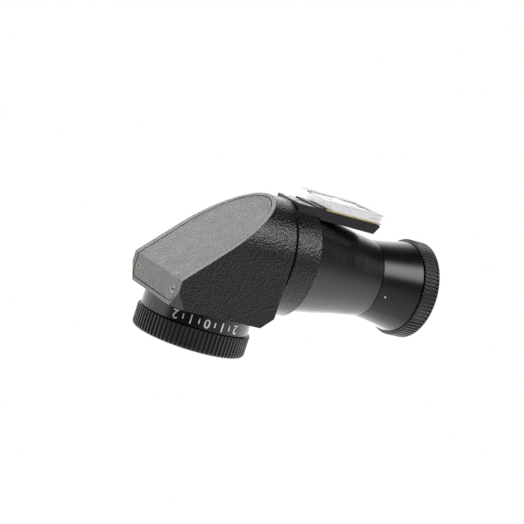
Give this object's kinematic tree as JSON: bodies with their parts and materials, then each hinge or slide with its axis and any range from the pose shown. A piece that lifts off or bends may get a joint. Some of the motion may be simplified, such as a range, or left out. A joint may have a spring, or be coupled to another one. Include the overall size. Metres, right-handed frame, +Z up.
{
  "type": "right-angle finder",
  "caption": "Right-angle optical finder: ribbed front ring, flared black tube, swivelling roof prism housing with a ribbed eyepiece ring, on a chrome accessory-shoe foot.",
  "frame": {"origin": "middle of the foot's underside, where it lies in an accessory shoe", "axes": "+X along the tube towards the front lens, +Z up towards the eyepiece, +Y to the left of someone looking along +X"},
  "size_m": [0.0729, 0.029, 0.043],
  "materials": {
    "foot_chrome": "polished chrome with fine wear",
    "spring_steel": "brushed",
    "screw_steel": "turned, lightly worn",
    "shim_metal": "satin",
    "base_black": "fine matt black paint",
    "crackle_black": "black crackle paint",
    "crackle_grey": "grey-black crackle paint",
    "tube_black": "satin black anodised",
    "ring_black": "black anodised, ribbed",
    "inner_black": "flat anti-reflection black",
    "bearing_metal": "turned",
    "lens_coated": "polished, anti-reflection coated",
    "prism_glass": "polished",
    "foam": "soft foam"
  },
  "bodies": {
    "shoe_mount": {"shoe_foot": "foot_chrome", "foot_spring": "spring_steel", "foot_screws": "screw_steel", "foot_spacer": "shim_metal", "base_plate": "base_black", "base_screws": "screw_steel", "collar": "crackle_black", "stop_pin": "screw_steel", "click_ball": "screw_steel", "click_spring": "spring_steel", "cone_tube": "tube_black", "relay_lens": "lens_coated", "relay_retainer": "inner_black", "tube_baffle": "inner_black", "field_mask": "inner_black", "front_barrel": "tube_black", "objective_key": "screw_steel", "front_clip": "spring_steel"},
    "front_focus": {"front_ring": "ring_black"},
    "objective": {"objective_cell": "inner_black", "front_lens": "lens_coated", "rear_lens": "lens_coated", "objective_spacer": "inner_black", "objective_retainer": "inner_black"},
    "viewer": {"prism_housing": "crackle_black", "rear_cover": "crackle_grey", "cover_screws": "screw_steel", "roof_prism": "prism_glass", "prism_seat": "inner_black", "prism_spring": "spring_steel", "prism_pad": "foam", "swivel_sleeve": "bearing_metal", "swivel_retainer": "bearing_metal", "eyepiece_neck": "tube_black", "dioptre_key": "screw_steel", "dioptre_clip": "spring_steel"},
    "dioptre": {"dioptre_ring": "ring_black"},
    "eyepiece": {"eyepiece_cell": "inner_black", "field_lens": "lens_coated", "eye_lens": "lens_coated", "eyepiece_spacer": "inner_black", "eyepiece_retainer": "inner_black"}
  },
  "joints": [
    {"name": "viewer_swivel", "type": "hinge", "parent": "shoe_mount", "child": "viewer", "pos_m": [-0.0166, 0, 0.0175], "axis": [1, 0, 0], "range_deg": [-90, 90]},
    {"name": "dioptre_turn", "type": "hinge", "parent": "viewer", "child": "dioptre", "pos_m": [-0.0306, 0, 0.04], "axis": [0, 0, 1], "range_deg": [-60, 60]},
    {"name": "eyepiece_slide", "type": "slide", "parent": "viewer", "child": "eyepiece", "axis": [0, 0, 1], "range_m": [-0.001, 0.001]},
    {"name": "front_turn", "type": "hinge", "parent": "shoe_mount", "child": "front_focus", "pos_m": [0.025, 0, 0.0175], "axis": [1, 0, 0], "range_deg": [-45, 45]},
    {"name": "objective_slide", "type": "slide", "parent": "shoe_mount", "child": "objective", "axis": [1, 0, 0], "range_m": [-0.0005, 0.0005]}
  ],
  "couplings": [
    {"joint": "dioptre_turn", "follows": "eyepiece_slide", "rad_per_m": 1047.2},
    {"joint": "front_turn", "follows": "objective_slide", "rad_per_m": 1570.8}
  ]
}
